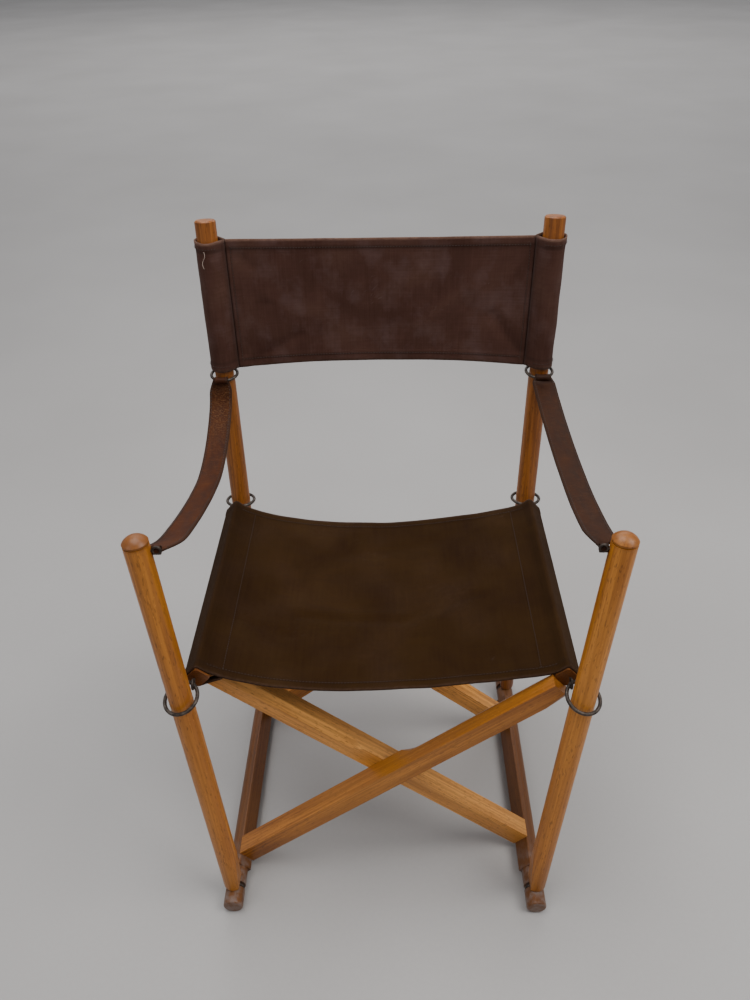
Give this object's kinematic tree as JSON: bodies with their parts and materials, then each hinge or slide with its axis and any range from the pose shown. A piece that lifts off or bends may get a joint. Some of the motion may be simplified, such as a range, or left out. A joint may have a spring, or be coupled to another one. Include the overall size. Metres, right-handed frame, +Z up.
{
  "type": "folding chair",
  "caption": "Folding armchair with crossing square-bar frames, round wooden posts held by sliding metal rings, canvas seat and back, and leather strap armrests.",
  "frame": {"origin": "on the floor, in the middle of the chair's width and depth", "axes": "+Z up, -Y towards the front of the chair, +X to the right when the chair is seen from the front"},
  "size_m": [0.5652, 0.5581, 0.86],
  "materials": {
    "wood": "oiled, satin",
    "canvas": "heavy twill canvas, worn",
    "leather": "saddle leather, worn",
    "metal": "darkened by age"
  },
  "bodies": {
    "front_left_leg": {"post_front_left": "wood", "foot_eye_front_left": "metal", "armrest_eye_left": "metal", "armrest_strap_left": "leather"},
    "front_right_leg": {"post_front_right": "wood", "foot_eye_front_right": "metal", "armrest_eye_right": "metal", "armrest_strap_right": "leather"},
    "rear_left_leg": {"post_rear_left": "wood", "foot_eye_rear_left": "metal", "armrest_ring_left": "metal", "backrest_canvas": "canvas"},
    "rear_right_leg": {"post_rear_right": "wood", "foot_eye_rear_right": "metal", "armrest_ring_right": "metal"},
    "frame_a": {"floor_rail_left": "wood", "seat_rail_right": "wood", "cross_bar_front_a": "wood", "cross_bar_rear_a": "wood", "pivot_pin_front": "metal", "pivot_pin_rear": "metal", "rail_eye_front_right": "metal", "rail_eye_rear_right": "metal"},
    "frame_b": {"floor_rail_right": "wood", "seat_rail_left": "wood", "cross_bar_front_b": "wood", "cross_bar_rear_b": "wood", "rail_eye_front_left": "metal", "rail_eye_rear_left": "metal", "seat_canvas": "canvas"},
    "ring_front_left": {"seat_ring_front_left": "metal"},
    "ring_front_right": {"seat_ring_front_right": "metal"},
    "ring_rear_left": {"seat_ring_rear_left": "metal"},
    "ring_rear_right": {"seat_ring_rear_right": "metal"}
  },
  "joints": [
    {"name": "fold", "type": "hinge", "parent": "front_left_leg", "child": "frame_a", "pos_m": [-0.226, -0.24908, 0.0142], "axis": [-0.0418, -0.9991, 0], "range_deg": [0, 36.2], "deforming": ["seat_canvas", "backrest_canvas", "armrest_strap_left", "armrest_strap_right"]},
    {"name": "cross_pivot", "type": "hinge", "parent": "frame_a", "child": "frame_b", "pos_m": [0, -0.05308, 0.2151], "axis": [0, 1, 0], "range_deg": [0, 68.94]},
    {"name": "rear_left_foot", "type": "hinge", "parent": "frame_a", "child": "rear_left_leg", "pos_m": [-0.226, 0.13092, 0.0142], "axis": [0.1241, 0.9851, 0.1194], "range_deg": [0, 36.66]},
    {"name": "front_right_foot", "type": "hinge", "parent": "frame_b", "child": "front_right_leg", "pos_m": [0.226, -0.24908, 0.0142], "axis": [0.0418, -0.9991, 0], "range_deg": [0, 36.3]},
    {"name": "rear_right_foot", "type": "hinge", "parent": "frame_b", "child": "rear_right_leg", "pos_m": [0.226, 0.13092, 0.0142], "axis": [0.1241, -0.9851, -0.1194], "range_deg": [0, 36.66]},
    {"name": "ring_swing_front_left", "type": "hinge", "parent": "frame_b", "child": "ring_front_left", "pos_m": [-0.2382, -0.19978, 0.424], "axis": [0.2773, -0.9594, -0.0508], "range_deg": [0, 29.06]},
    {"name": "ring_swing_rear_left", "type": "hinge", "parent": "frame_b", "child": "ring_rear_left", "pos_m": [-0.235, 0.17091, 0.424], "axis": [0, -1, 0], "range_deg": [0, 34.52]},
    {"name": "ring_swing_front_right", "type": "hinge", "parent": "frame_a", "child": "ring_front_right", "pos_m": [0.2382, -0.19978, 0.424], "axis": [0.2773, 0.9594, 0.0508], "range_deg": [0, 29.06]},
    {"name": "ring_swing_rear_right", "type": "hinge", "parent": "frame_a", "child": "ring_rear_right", "pos_m": [0.235, 0.17091, 0.424], "axis": [0, 1, 0], "range_deg": [0, 34.52]}
  ],
  "couplings": [
    {"joint": "cross_pivot", "follows": "fold", "ratio": 1.9016},
    {"joint": "rear_left_foot", "follows": "fold", "ratio": 1.01},
    {"joint": "front_right_foot", "follows": "fold", "ratio": 1},
    {"joint": "rear_right_foot", "follows": "fold", "ratio": 1.01},
    {"joint": "ring_swing_front_left", "follows": "fold", "ratio": 0.8},
    {"joint": "ring_swing_rear_left", "follows": "fold", "ratio": 0.9508},
    {"joint": "ring_swing_front_right", "follows": "fold", "ratio": 0.8},
    {"joint": "ring_swing_rear_right", "follows": "fold", "ratio": 0.9508}
  ]
}
